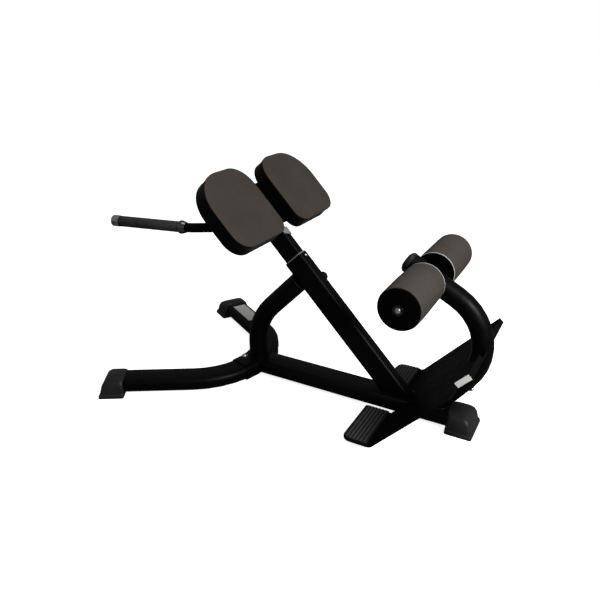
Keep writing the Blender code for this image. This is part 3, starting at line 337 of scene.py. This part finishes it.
def vinyl(name, dark, light, specular, wall=None, seam=None):
    """Grained upholstery vinyl. wall: near-black painted shade below the seam level along the post's
    front, for the pad walls turned from the light.
    """
    s = Shader(name)
    s.set(Specular_IOR_Level=specular, Sheen_Weight=0.02, Sheen_Roughness=0.4)
    grain = vinyl_grain(s)
    cloud = s.ramp(s.noise(7.0, 4.0), (0.35, 0.65, 0.0, 1.0))
    colour = s.mix(cloud, dark, light)
    # darker in the grain's hollows: painted shade
    colour = s.mix(s.ramp(grain, (0.0, 0.5, 0.55, 0.0)), colour, tuple(c * 0.45 for c in dark))
    # near-black painted shade on the pad walls below the seam
    if wall:
        height = s.dot(s.moved(tuple(SLEEVE_TOP)), tuple(POST_OUT))
        below = s.ramp(height, (seam + 0.0003, seam - 0.0003, 0.0, 1.0))
        colour = s.mix(below, colour, wall)
    rough = s.ramp(s.noise(34.0, 5.0, 0.6), (0.3, 0.7, 0.46, 0.62))
    return s.finish(colour, rough, s.bump(grain, 0.30, 0.0004))


def wood(name):
    """Plywood: long grain on the face, plies at the edge."""
    s = Shader(name)
    stretch = s.tree.nodes.new("ShaderNodeMapping")
    stretch.inputs["Scale"].default_value = (1.0, 0.06, 1.0)
    s.link(s.coord, stretch.inputs["Vector"])
    grain = s.noise(160.0, 8.0, 0.7, stretch.outputs["Vector"])
    colour = s.mix(s.ramp(grain, (0.35, 0.65, 0.0, 1.0)), (0.30, 0.19, 0.10), (0.48, 0.34, 0.20))
    ply = s.math("SINE", s.math("MULTIPLY", s.dot(s.moved(tuple(SLEEVE_TOP)), tuple(POST_OUT)), 2600.0))
    colour = s.mix(s.ramp(ply, (0.4, 0.9, 0.0, 0.25)), colour, (0.16, 0.09, 0.05))
    rough = s.ramp(grain, (0.3, 0.7, 0.55, 0.78))
    return s.finish(colour, rough, s.bump(grain, 0.25, 0.0005))


def label_stock(name, colour):
    """Blank laminated label: slight yellowing and a soft film sheen."""
    s = Shader(name)
    aged = tuple(c * f for c, f in zip(colour, (0.88, 0.87, 0.83)))
    tint = s.mix(s.ramp(s.noise(45.0, 5.0), (0.35, 0.7, 0.0, 1.0)), colour, aged)
    rough = s.ramp(s.noise(70.0, 4.0), (0.3, 0.7, 0.30, 0.45))
    return s.finish(tint, rough, s.bump(s.noise(220.0, 3.0), 0.08, 0.0003))


def grip_rubber(name, side):
    """Foam-rubber grip with fine moulded rings along it, and painted shade in the grooves between the
    rings.
    """
    s = Shader(name)
    s.set(Specular_IOR_Level=0.12)
    along = (-math.cos(GRIP_SPLAY), side * math.sin(GRIP_SPLAY), 0.0)
    rings = s.math("SINE", s.math("MULTIPLY", s.dot(s.coord, along), 2 * math.pi / 0.0042))
    rings = s.ramp(rings, (-0.4, 0.8, 0.0, 1.0))
    cloud = s.ramp(s.noise(30.0, 5.0), (0.35, 0.65, 0.0, 1.0))
    colour = s.mix(cloud, (0.022, 0.022, 0.0222), (0.034, 0.034, 0.0345))
    # darker in the ring grooves: painted shade
    colour = s.mix(s.ramp(rings, (0.0, 0.5, 0.35, 0.0)), colour, (0.012, 0.012, 0.0125))
    height = s.math("ADD", rings, s.math("MULTIPLY", s.noise(1400.0, 2.0), 0.6))
    rough = s.ramp(s.noise(50.0, 5.0), (0.3, 0.7, 0.50, 0.68))
    return s.finish(colour, rough, s.bump(height, 0.28, 0.0006))


def end_disc(name):
    """Roller end disc: black moulded face, with a pale rim painted on as the edge's highlight."""
    s = Shader(name)
    s.set(Specular_IOR_Level=0.02)
    # mask of the pale ring at the disc's edge, and its colour below: a painted highlight on the rim
    rim = s.ramp(s.from_axle(), (ROLLER_R - 0.0022, ROLLER_R - 0.0016, 0.0, 1.0))
    face = s.mix(s.ramp(s.noise(20.0, 4.0), (0.35, 0.65, 0.0, 1.0)), grey(0.0003), grey(0.0008))
    colour = s.mix(rim, face, (0.36, 0.36, 0.35))
    rough = s.ramp(s.noise(60.0, 4.0), (0.3, 0.7, 0.42, 0.58))
    return s.finish(colour, rough, s.bump(s.noise(1100.0, 2.0), 0.12, 0.0004))


# ---------------------------------------------------------------- carried-over CAD nodes

def smooth_group():
    """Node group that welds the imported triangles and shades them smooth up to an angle."""
    group = bpy.data.node_groups.new("smooth_by_angle", "GeometryNodeTree")
    group.interface.new_socket("Geometry", in_out="INPUT", socket_type="NodeSocketGeometry")
    group.interface.new_socket("Geometry", in_out="OUTPUT", socket_type="NodeSocketGeometry")
    nodes, links = group.nodes, group.links
    start = nodes.new("NodeGroupInput")
    end = nodes.new("NodeGroupOutput")
    drop = nodes.new("GeometryNodeRemoveAttribute")
    drop.inputs["Name"].default_value = "custom_normal"
    weld = nodes.new("GeometryNodeMergeByDistance")
    weld.inputs["Distance"].default_value = 0.00002
    faces = nodes.new("GeometryNodeSetShadeSmooth")
    edges = nodes.new("GeometryNodeSetShadeSmooth")
    edges.domain = "EDGE"
    angle = nodes.new("GeometryNodeInputMeshEdgeAngle")
    limit = nodes.new("FunctionNodeCompare")
    limit.operation = "LESS_THAN"
    limit.inputs["B"].default_value = math.radians(38.0)
    links.new(start.outputs[0], drop.inputs["Geometry"])
    links.new(drop.outputs["Geometry"], weld.inputs["Geometry"])
    links.new(weld.outputs["Geometry"], faces.inputs["Geometry"])
    links.new(faces.outputs["Geometry"], edges.inputs["Geometry"])
    links.new(angle.outputs["Unsigned Angle"], limit.inputs["A"])
    links.new(limit.outputs["Result"], edges.inputs["Shade Smooth"])
    links.new(edges.outputs["Geometry"], end.inputs[0])
    return group


def dress_nodes(looks):
    group = smooth_group()
    for name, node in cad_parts.items():
        modifier = node.modifiers.new("smooth", "NODES")
        modifier.node_group = group
        for slot in node.material_slots:
            slot.material = looks(name)


PAINT = powder_coat("look_black_paint", grey(0.0006), grey(0.0011), grey(0.010), 0.07)
# the last True paints a highlight along the slot edge beside the base beam
PLATFORM = powder_coat("look_platform", grey(0.0028), grey(0.0044), grey(0.024), 0.006, 0.24, True)
RUBBER = moulded("look_grey_rubber", grey(0.0085), grey(0.0150), grey(0.12), 0.42, 0.16)
TREAD = tread_rubber("look_tread_rubber")
PLASTIC = moulded("look_black_plastic", grey(0.0012), grey(0.0024), grey(0.016), 0.40, 0.08)
PALE_PLASTIC = moulded("look_pale_plastic", grey(0.13), grey(0.19), grey(0.30), 0.48, 0.20)
ZINC = plated("look_zinc", (0.62, 0.62, 0.60), 0.26)
CHROME = plated("look_chrome", (0.50, 0.50, 0.51), 0.16)
COLLAR = plated("look_collar", (0.16, 0.16, 0.165), 0.18)
BOARD = wood("look_plywood")
LABEL = label_stock("look_blank_label", (0.84, 0.84, 0.82))
SILVER_LABEL = label_stock("look_silver_label", (0.42, 0.42, 0.41))
DISC = end_disc("look_roller_disc")
AXLE_BOLT = capped_bolt("look_axle_bolt")
GRIPS = {word: grip_rubber("look_grip_" + word, side) for word, side in SIDES}
SEAM_LEVEL = PAD_FACE_N - PAD_SEAM_DROP
# near-black painted shade for the pad walls below the face seam
PAD_WALL_SHADE = grey(0.0007)
PAD_VINYL = vinyl(
    "look_pad_vinyl", (0.037, 0.0313, 0.0263), (0.0435, 0.0370, 0.0313), 0.05, PAD_WALL_SHADE, SEAM_LEVEL)
ROLLER_VINYL = vinyl("look_roller_vinyl", (0.044, 0.0375, 0.0325), (0.051, 0.0440, 0.0385), 0.07)
THREAD = moulded("look_thread", grey(0.004), grey(0.008), grey(0.02), 0.7, 0.2, 700.0)


def look_of(name):
    exact = {
        "foot_plate": PLATFORM, "sleeve_liner": PALE_PLASTIC, "post_bumper": PALE_PLASTIC,
        "heel_label": LABEL, "leg_label": SILVER_LABEL, "lock_pin": ZINC, "lock_pin_spring": ZINC,
        "lock_pin_knob": PLASTIC, "roller_arm_cap": RUBBER, "arm_bolt": ZINC, "liner_screw": ZINC,
        "roller_axle": ZINC,
    }
    starts = (
        ("grip_collar", COLLAR), ("grip_end_cap", CHROME), ("grip_left", GRIPS["left"]),
        ("grip_right", GRIPS["right"]), ("front_foot", RUBBER), ("rear_foot", RUBBER),
        ("toe_tread", TREAD),
        ("pad_board", BOARD), ("pad_screw", ZINC), ("saddle_bolt", ZINC), ("axle_bolt", AXLE_BOLT),
        ("roller_spacer", ZINC), ("roller_core", ZINC), ("roller_inner_disc", DISC),
        ("roller_outer_disc", DISC), ("roller_bush", PLASTIC), ("post_top_plug", PLASTIC),
        ("post_bottom_plug", PLASTIC), ("hip_pad", PAD_VINYL), ("roller_pad", ROLLER_VINYL),
    )
    if name in exact:
        return exact[name]
    for start, look in starts:
        if name.startswith(start):
            return look
    return PAINT


# ---------------------------------------------------------------- mesh helpers

def on_post(s, n, y=0.0):
    return SLEEVE_TOP + POST_UP * s + POST_OUT * n + SIDE * y


def new_piece(name, bm, look, body, subdivide=0, smooth_angle=180.0):
    bmesh.ops.recalc_face_normals(bm, faces=bm.faces)
    mesh = bpy.data.meshes.new(name)
    bm.to_mesh(mesh)
    bm.free()
    mesh.shade_smooth()
    if smooth_angle < 180.0:
        mesh.set_sharp_from_angle(angle=math.radians(smooth_angle))
    mesh.materials.append(look)
    piece = bpy.data.objects.new(name, mesh)
    bpy.context.scene.collection.objects.link(piece)
    if subdivide:
        modifier = piece.modifiers.new("subdivision", "SUBSURF")
        modifier.levels = subdivide
        modifier.render_levels = subdivide
    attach(piece, body)
    return piece


def bridge(bm, a, b):
    count = len(a)
    for i in range(count):
        bm.faces.new((a[i], a[(i + 1) % count], b[(i + 1) % count], b[i]))


def close_with_tip(bm, rim, tip):
    for i in range(len(rim)):
        bm.faces.new((rim[i], rim[(i + 1) % len(rim)], tip))


# ---------------------------------------------------------------- hip pads

def pad_outline(side, grow):
    """Pad outline seen square on, evenly divided: (along the post from its middle, across)."""
    middle_y = sum(PAD_Y) / 2
    half_y = (PAD_Y[1] - PAD_Y[0]) / 2 + grow
    half_s = PAD_L / 2 + grow
    corners = ((1, 1, 0.0), (-1, 1, 0.5), (-1, -1, 1.0), (1, -1, 1.5))
    arc_steps = 14
    straight_steps = 8
    arcs = []
    for (ss, sy, start), radius in zip(corners, PAD_RADII):
        radius = max(radius + grow, 0.0005)
        arc = []
        for i in range(arc_steps + 1):
            a = math.pi * (start + 0.5 * i / arc_steps)
            along = ss * (half_s - radius) + radius * math.cos(a)
            arc.append((along, sy * (half_y - radius) + radius * math.sin(a)))
        arcs.append(arc)
    points = []
    for k, arc in enumerate(arcs):
        points += arc
        start, end = arc[-1], arcs[(k + 1) % 4][0]
        for i in range(1, straight_steps):
            t = i / straight_steps
            points.append((start[0] + (end[0] - start[0]) * t, start[1] + (end[1] - start[1]) * t))
    return [(s, side * (middle_y + y)) for s, y in points]


def pad_sections():
    """(outline growth, height in front of the post) from the back rim to the face's last offset ring."""
    back = PAD_FACE_N - PAD_T
    wall = SEAM_LEVEL - back
    sections = [(-BOARD_INSET + 0.0008, back + BOARD_T + 0.0006), (-BOARD_INSET + 0.0008, back + 0.0016),
                (-0.0034, back + 0.0001), (-0.0018, back + 0.0006), (-0.0004, back + 0.0032)]
    for i in range(1, 9):
        t = i / 9
        sections.append((0.0004 - 0.0020 * math.sin(math.pi * t), back + 0.0032 + (wall - 0.0050) * t))
    sections += [(0.0003, SEAM_LEVEL - 0.0016), (-0.0009, SEAM_LEVEL - 0.0004), (-0.0014, SEAM_LEVEL),
                 (-0.0008, SEAM_LEVEL + 0.0004), (0.0002, SEAM_LEVEL + 0.0014)]
    roll = PAD_FACE_N - SEAM_LEVEL - 0.0014
    for i in range(1, 7):
        a = math.pi / 2 * i / 6
        level = SEAM_LEVEL + 0.0014 + (roll - 0.0022) * math.sin(a)
        sections.append((0.0002 - 0.0090 * (1 - math.cos(a)), level))
    return sections


def pad_ripple(point, amount):
    """Slow unevenness of stretched vinyl over foam."""
    return amount * noise.noise(point * 16.0) + 0.3 * amount * noise.noise(point * 42.0)


def make_pad(word, side):
    bm = bmesh.new()
    mid_y = side * sum(PAD_Y) / 2
    rings = []
    for grow, n in pad_sections():
        rings.append([bm.verts.new(on_post(PAD_S + s, n, y)) for s, y in pad_outline(side, grow)])
    edge_grow, edge_n = pad_sections()[-1]
    edge = pad_outline(side, edge_grow)
    face_steps = 14
    for i in range(1, face_steps):
        t = i / face_steps
        points = [(s * (1 - t), mid_y + (y - mid_y) * (1 - t)) for s, y in edge]
        n = edge_n + PAD_CROWN * (1 - (1 - t) ** 2.4)
        ring = []
        for s, y in points:
            flat = on_post(PAD_S + s, n, y)
            ring.append(bm.verts.new(flat + POST_OUT * pad_ripple(flat, 0.0009 * min(1.0, 3 * t))))
        rings.append(ring)
    for a, b in zip(rings, rings[1:]):
        bridge(bm, a, b)
    tip = bm.verts.new(on_post(PAD_S, edge_n + PAD_CROWN, mid_y))
    close_with_tip(bm, rings[-1], tip)
    floor_n = pad_sections()[0][1]
    floor = bm.verts.new(on_post(PAD_S, floor_n, mid_y))
    close_with_tip(bm, rings[0][::-1], floor)
    piece = new_piece("hip_cushion_" + word, bm, PAD_VINYL, "pad_carriage", 1)
    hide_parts("hip_pad_" + word)


def walk(points, pitch):
    """(point, heading) every pitch along a closed line."""
    found = []
    left = 0.0
    for a, b in zip(points, points[1:] + points[:1]):
        length = (b - a).length
        if length < 1e-9:
            continue
        heading = (b - a) / length
        at = left
        while at < length:
            found.append((a + heading * at, heading))
            at += pitch
        left = at - length
    return found


def add_stitch(bm, centre, heading, out):
    """One stitch: a short spindle that lies on the surface."""
    across = heading.cross(out).normalized()
    levels = ((-0.5, 0.35), (-0.28, 1.0), (0.28, 1.0), (0.5, 0.35))
    rings = []
    for t, grow in levels:
        middle = centre + heading * STITCH_L * t
        ring = []
        for i in range(6):
            a = 2 * math.pi * i / 6
            spoke = across * math.cos(a) + out * math.sin(a)
            ring.append(bm.verts.new(middle + spoke * STITCH_R * grow))
        rings.append(ring)
    for a, b in zip(rings, rings[1:]):
        bridge(bm, a, b)
    bm.faces.new(rings[0])
    bm.faces.new(rings[-1])


def make_pad_stitches(word, side):
    """Thread on the wall just under the face seam."""
    bm = bmesh.new()
    level = SEAM_LEVEL - STITCH_DROP
    line = [on_post(PAD_S + s, level, y) for s, y in pad_outline(side, 0.0)]
    centre = on_post(PAD_S, level, side * sum(PAD_Y) / 2)
    for point, heading in walk(line, STITCH_PITCH):
        out = heading.cross(POST_OUT).normalized()
        out = out if out.dot(point - centre) > 0 else -out
        add_stitch(bm, point - out * STITCH_LIFT, heading, out)
    new_piece("hip_cushion_stitching_" + word, bm, THREAD, "pad_carriage")


# ---------------------------------------------------------------- ankle rollers

def roller_profile():
    """(radius, distance from the inner end) of the padded sleeve, with tucked ends."""
    length = ROLLER_Y[1] - ROLLER_Y[0]
    shoulder = ROLLER_R - ROLLER_END
    profile = [(ROLLER_CORE_R, 0.0008), (ROLLER_R - 0.016, 0.0002), (ROLLER_R - 0.0075, 0.0003)]
    for i in range(1, 6):
        a = math.pi / 2 * i / 5
        profile.append((shoulder + 0.0038 * math.sin(a), ROLLER_END - 0.0040 * math.cos(a)))
    steps = 22
    for i in range(1, steps):
        t = i / steps
        radius = ROLLER_R - 0.0004 + 0.0010 * math.sin(math.pi * t)
        profile.append((radius, ROLLER_END + (length - 2 * ROLLER_END) * t))
    for i in range(5):
        a = math.pi / 2 * (1 - i / 5)
        profile.append((shoulder + 0.0038 * math.sin(a), length - ROLLER_END + 0.0040 * math.cos(a)))
    profile += [(ROLLER_R - 0.0075, length - 0.0003), (ROLLER_R - 0.016, length - 0.0002),
                (ROLLER_CORE_R, length - 0.0008)]
    return profile


def make_roller(word, side):
    bm = bmesh.new()
    rings = []
    for radius, along in roller_profile():
        ring = []
        for i in range(ROLLER_SIDES):
            a = 2 * math.pi * i / ROLLER_SIDES
            near_seam = max(0.0, 1.0 - abs(i - ROLLER_SEAM) / 1.6)
            r = radius - ROLLER_SEAM_DEPTH * near_seam * (radius > ROLLER_R - 0.006)
            out = Vector((math.cos(a), 0.0, math.sin(a)))
            place = Vector((ROLLER_X, side * (ROLLER_Y[0] + along), ROLLER_Z)) + out * r
            lift = pad_ripple(place, 0.0006) if radius > ROLLER_R - 0.003 else 0.0
            ring.append(bm.verts.new(place + out * lift))
        rings.append(ring)
    for a, b in zip(rings, rings[1:] + rings[:1]):
        bridge(bm, a, b)
    piece = new_piece("ankle_roller_cover_" + word, bm, ROLLER_VINYL, "roller_" + word, 1)
    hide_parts("roller_pad_" + word)
    make_roller_stitches(word, side)


def make_roller_stitches(word, side):
    """Thread beside the cover's lengthwise seam."""
    bm = bmesh.new()
    for offset in (-ROLLER_STITCH_TURN, ROLLER_STITCH_TURN):
        a = 2 * math.pi * ROLLER_SEAM / ROLLER_SIDES + offset
        out = Vector((math.cos(a), 0.0, math.sin(a)))
        for i in range(ROLLER_STITCHES):
            t = i / (ROLLER_STITCHES - 1)
            along = ROLLER_Y[0] + 0.008 + (ROLLER_Y[1] - ROLLER_Y[0] - 0.016) * t
            centre = Vector((ROLLER_X, side * along, ROLLER_Z)) + out * (ROLLER_R + STITCH_LIFT)
            add_stitch(bm, centre, SIDE, out)
    new_piece("ankle_roller_stitching_" + word, bm, THREAD, "roller_" + word)


# ---------------------------------------------------------------- weld beads

def weld_bead(name, line):
    """Rippled fillet bead along a closed line on the frame."""
    dense = [p for p, _ in walk(line, WELD_STEP)]
    bm = bmesh.new()
    rings = []
    count = len(dense)
    for i, point in enumerate(dense):
        heading = (dense[(i + 1) % count] - dense[i - 1]).normalized()
        r = WELD_R * (1.0 + 0.10 * math.sin(2 * math.pi * i / 3.0) + 0.12 * noise.noise(point * 90.0))
        turns = [2 * math.pi * k / 8 for k in range(8)]
        upward = UP - heading * heading.z
        side = upward.normalized() if upward.length > 0.2 else heading.orthogonal().normalized()
        up = heading.cross(side)
        rings.append([bm.verts.new(point + (side * math.cos(a) + up * math.sin(a)) * r) for a in turns])
    for a, b in zip(rings, rings[1:] + rings[:1]):
        bridge(bm, a, b)
    new_piece(name, bm, PAINT, "bench_frame")


def rounded_rect(width, height, radius, steps=4):
    points = []
    for sx, sy, start in ((1, 1, 0.0), (-1, 1, 0.5), (-1, -1, 1.0), (1, -1, 1.5)):
        for i in range(steps + 1):
            a = math.pi * (start + 0.5 * i / steps)
            across = sx * (width / 2 - radius) + radius * math.cos(a)
            points.append((across, sy * (height / 2 - radius) + radius * math.sin(a)))
    return points


def onto_plane(point, heading, plane_point, plane_normal):
    return point + heading * ((plane_point - point).dot(plane_normal) / heading.dot(plane_normal))


def tube_line(centre, heading, radius, plane_point, plane_normal, steps=48):
    """Where a round tube meets a plane."""
    up = heading.cross(SIDE).normalized()
    turns = [2 * math.pi * i / steps for i in range(steps)]
    rim = [centre + (SIDE * math.cos(a) + up * math.sin(a)) * radius for a in turns]
    return [onto_plane(p, heading, plane_point, plane_normal) for p in rim]


def make_welds():
    beam = Vector((0.0, 0.0, BEAM_TOP))
    sleeve = [onto_plane(on_post(0.0, n, y), POST_UP, beam, UP) for n, y in rounded_rect(*SLEEVE)]
    weld_bead("weld_sleeve_foot", sleeve)
    low = Vector((math.cos(ARM_LOW_ANGLE), 0.0, math.sin(ARM_LOW_ANGLE)))
    heading = Vector((math.sin(ARM_LOW_ANGLE), 0.0, -math.cos(ARM_LOW_ANGLE)))
    weld_bead("weld_arm_foot", tube_line(ARM_BEND + low * ARM_BEND_R, heading, ARM_R, beam, UP))
    foot = Vector((STRUT_X, 0.0, STRUT_FOOT_Z))
    weld_bead("weld_strut_foot", tube_line(foot, UP, STRUT_R, foot, UP))
    head = Vector((math.sin(STRUT_TURN), 0.0, math.cos(STRUT_TURN)))
    corner = Vector((STRUT_X, 0.0, STRUT_CORNER_Z))
    underside = on_post(0.0, -SLEEVE[0] / 2)
    weld_bead("weld_strut_head", tube_line(corner, head, STRUT_R, underside, POST_OUT))


# ---------------------------------------------------------------- stage

def make_stage():
    bm = bmesh.new()
    bmesh.ops.create_grid(bm, x_segments=2, y_segments=2, size=FLOOR_HALF)
    mesh = bpy.data.meshes.new("floor")
    bm.to_mesh(mesh)
    bm.free()
    floor = bpy.data.objects.new("floor", mesh)
    bpy.context.scene.collection.objects.link(floor)
    mat = bpy.data.materials.new("pale_floor")
    mat.use_nodes = True
    tree = mat.node_tree
    tree.nodes.clear()
    path = tree.nodes.new("ShaderNodeLightPath")
    seen = tree.nodes.new("ShaderNodeBsdfDiffuse")
    seen.inputs["Color"].default_value = (0.9, 0.9, 0.9, 1.0)
    glow = tree.nodes.new("ShaderNodeEmission")
    glow.inputs["Strength"].default_value = FLOOR_GLOW
    both = tree.nodes.new("ShaderNodeAddShader")
    bounce = tree.nodes.new("ShaderNodeBsdfDiffuse")
    bounce.inputs["Color"].default_value = (FLOOR_BOUNCE, FLOOR_BOUNCE, FLOOR_BOUNCE, 1.0)
    pick = tree.nodes.new("ShaderNodeMixShader")
    end = tree.nodes.new("ShaderNodeOutputMaterial")
    tree.links.new(seen.outputs[0], both.inputs[0])
    tree.links.new(glow.outputs[0], both.inputs[1])
    tree.links.new(path.outputs["Is Camera Ray"], pick.inputs[0])
    tree.links.new(bounce.outputs[0], pick.inputs[1])
    tree.links.new(both.outputs[0], pick.inputs[2])
    tree.links.new(pick.outputs[0], end.inputs[0])
    mesh.materials.append(mat)


def area_light(name, place, target, size, power):
    data = bpy.data.lights.new(name, "AREA")
    data.shape = "RECTANGLE"
    data.size, data.size_y = size
    data.energy = power
    light = bpy.data.objects.new(name, data)
    bpy.context.scene.collection.objects.link(light)
    light.location = place
    light.rotation_euler = (Vector(target) - Vector(place)).to_track_quat("-Z", "Y").to_euler()


def make_light():
    world = bpy.data.worlds.new("studio")
    bpy.context.scene.world = world
    world.use_nodes = True
    tree = world.node_tree
    background = tree.nodes["Background"]
    background.inputs["Color"].default_value = (1.0, 1.0, 1.0, 1.0)
    path = tree.nodes.new("ShaderNodeLightPath")
    strength = tree.nodes.new("ShaderNodeMapRange")
    strength.inputs["To Min"].default_value = WORLD_FILL
    strength.inputs["To Max"].default_value = 1.0
    tree.links.new(path.outputs["Is Camera Ray"], strength.inputs["Value"])
    tree.links.new(strength.outputs["Result"], background.inputs["Strength"])
    area_light("key", *KEY_LIGHT)
    area_light("top", *TOP_LIGHT)


def make_camera():
    data = bpy.data.cameras.new("camera")
    data.lens = LENS
    data.sensor_width = 36.0
    data.clip_end = 60.0
    camera = bpy.data.objects.new("camera", data)
    bpy.context.scene.collection.objects.link(camera)
    camera.location = CAMERA_PLACE
    camera.rotation_euler = (CAMERA_TILT, 0.0, CAMERA_TURN)
    bpy.context.scene.camera = camera


# ---------------------------------------------------------------- build

dress_nodes(look_of)
for word, side in SIDES:
    make_pad(word, side)
    make_pad_stitches(word, side)
    make_roller(word, side)
make_welds()
make_stage()
make_light()
make_camera()
bpy.context.scene.view_settings.view_transform = "Standard"
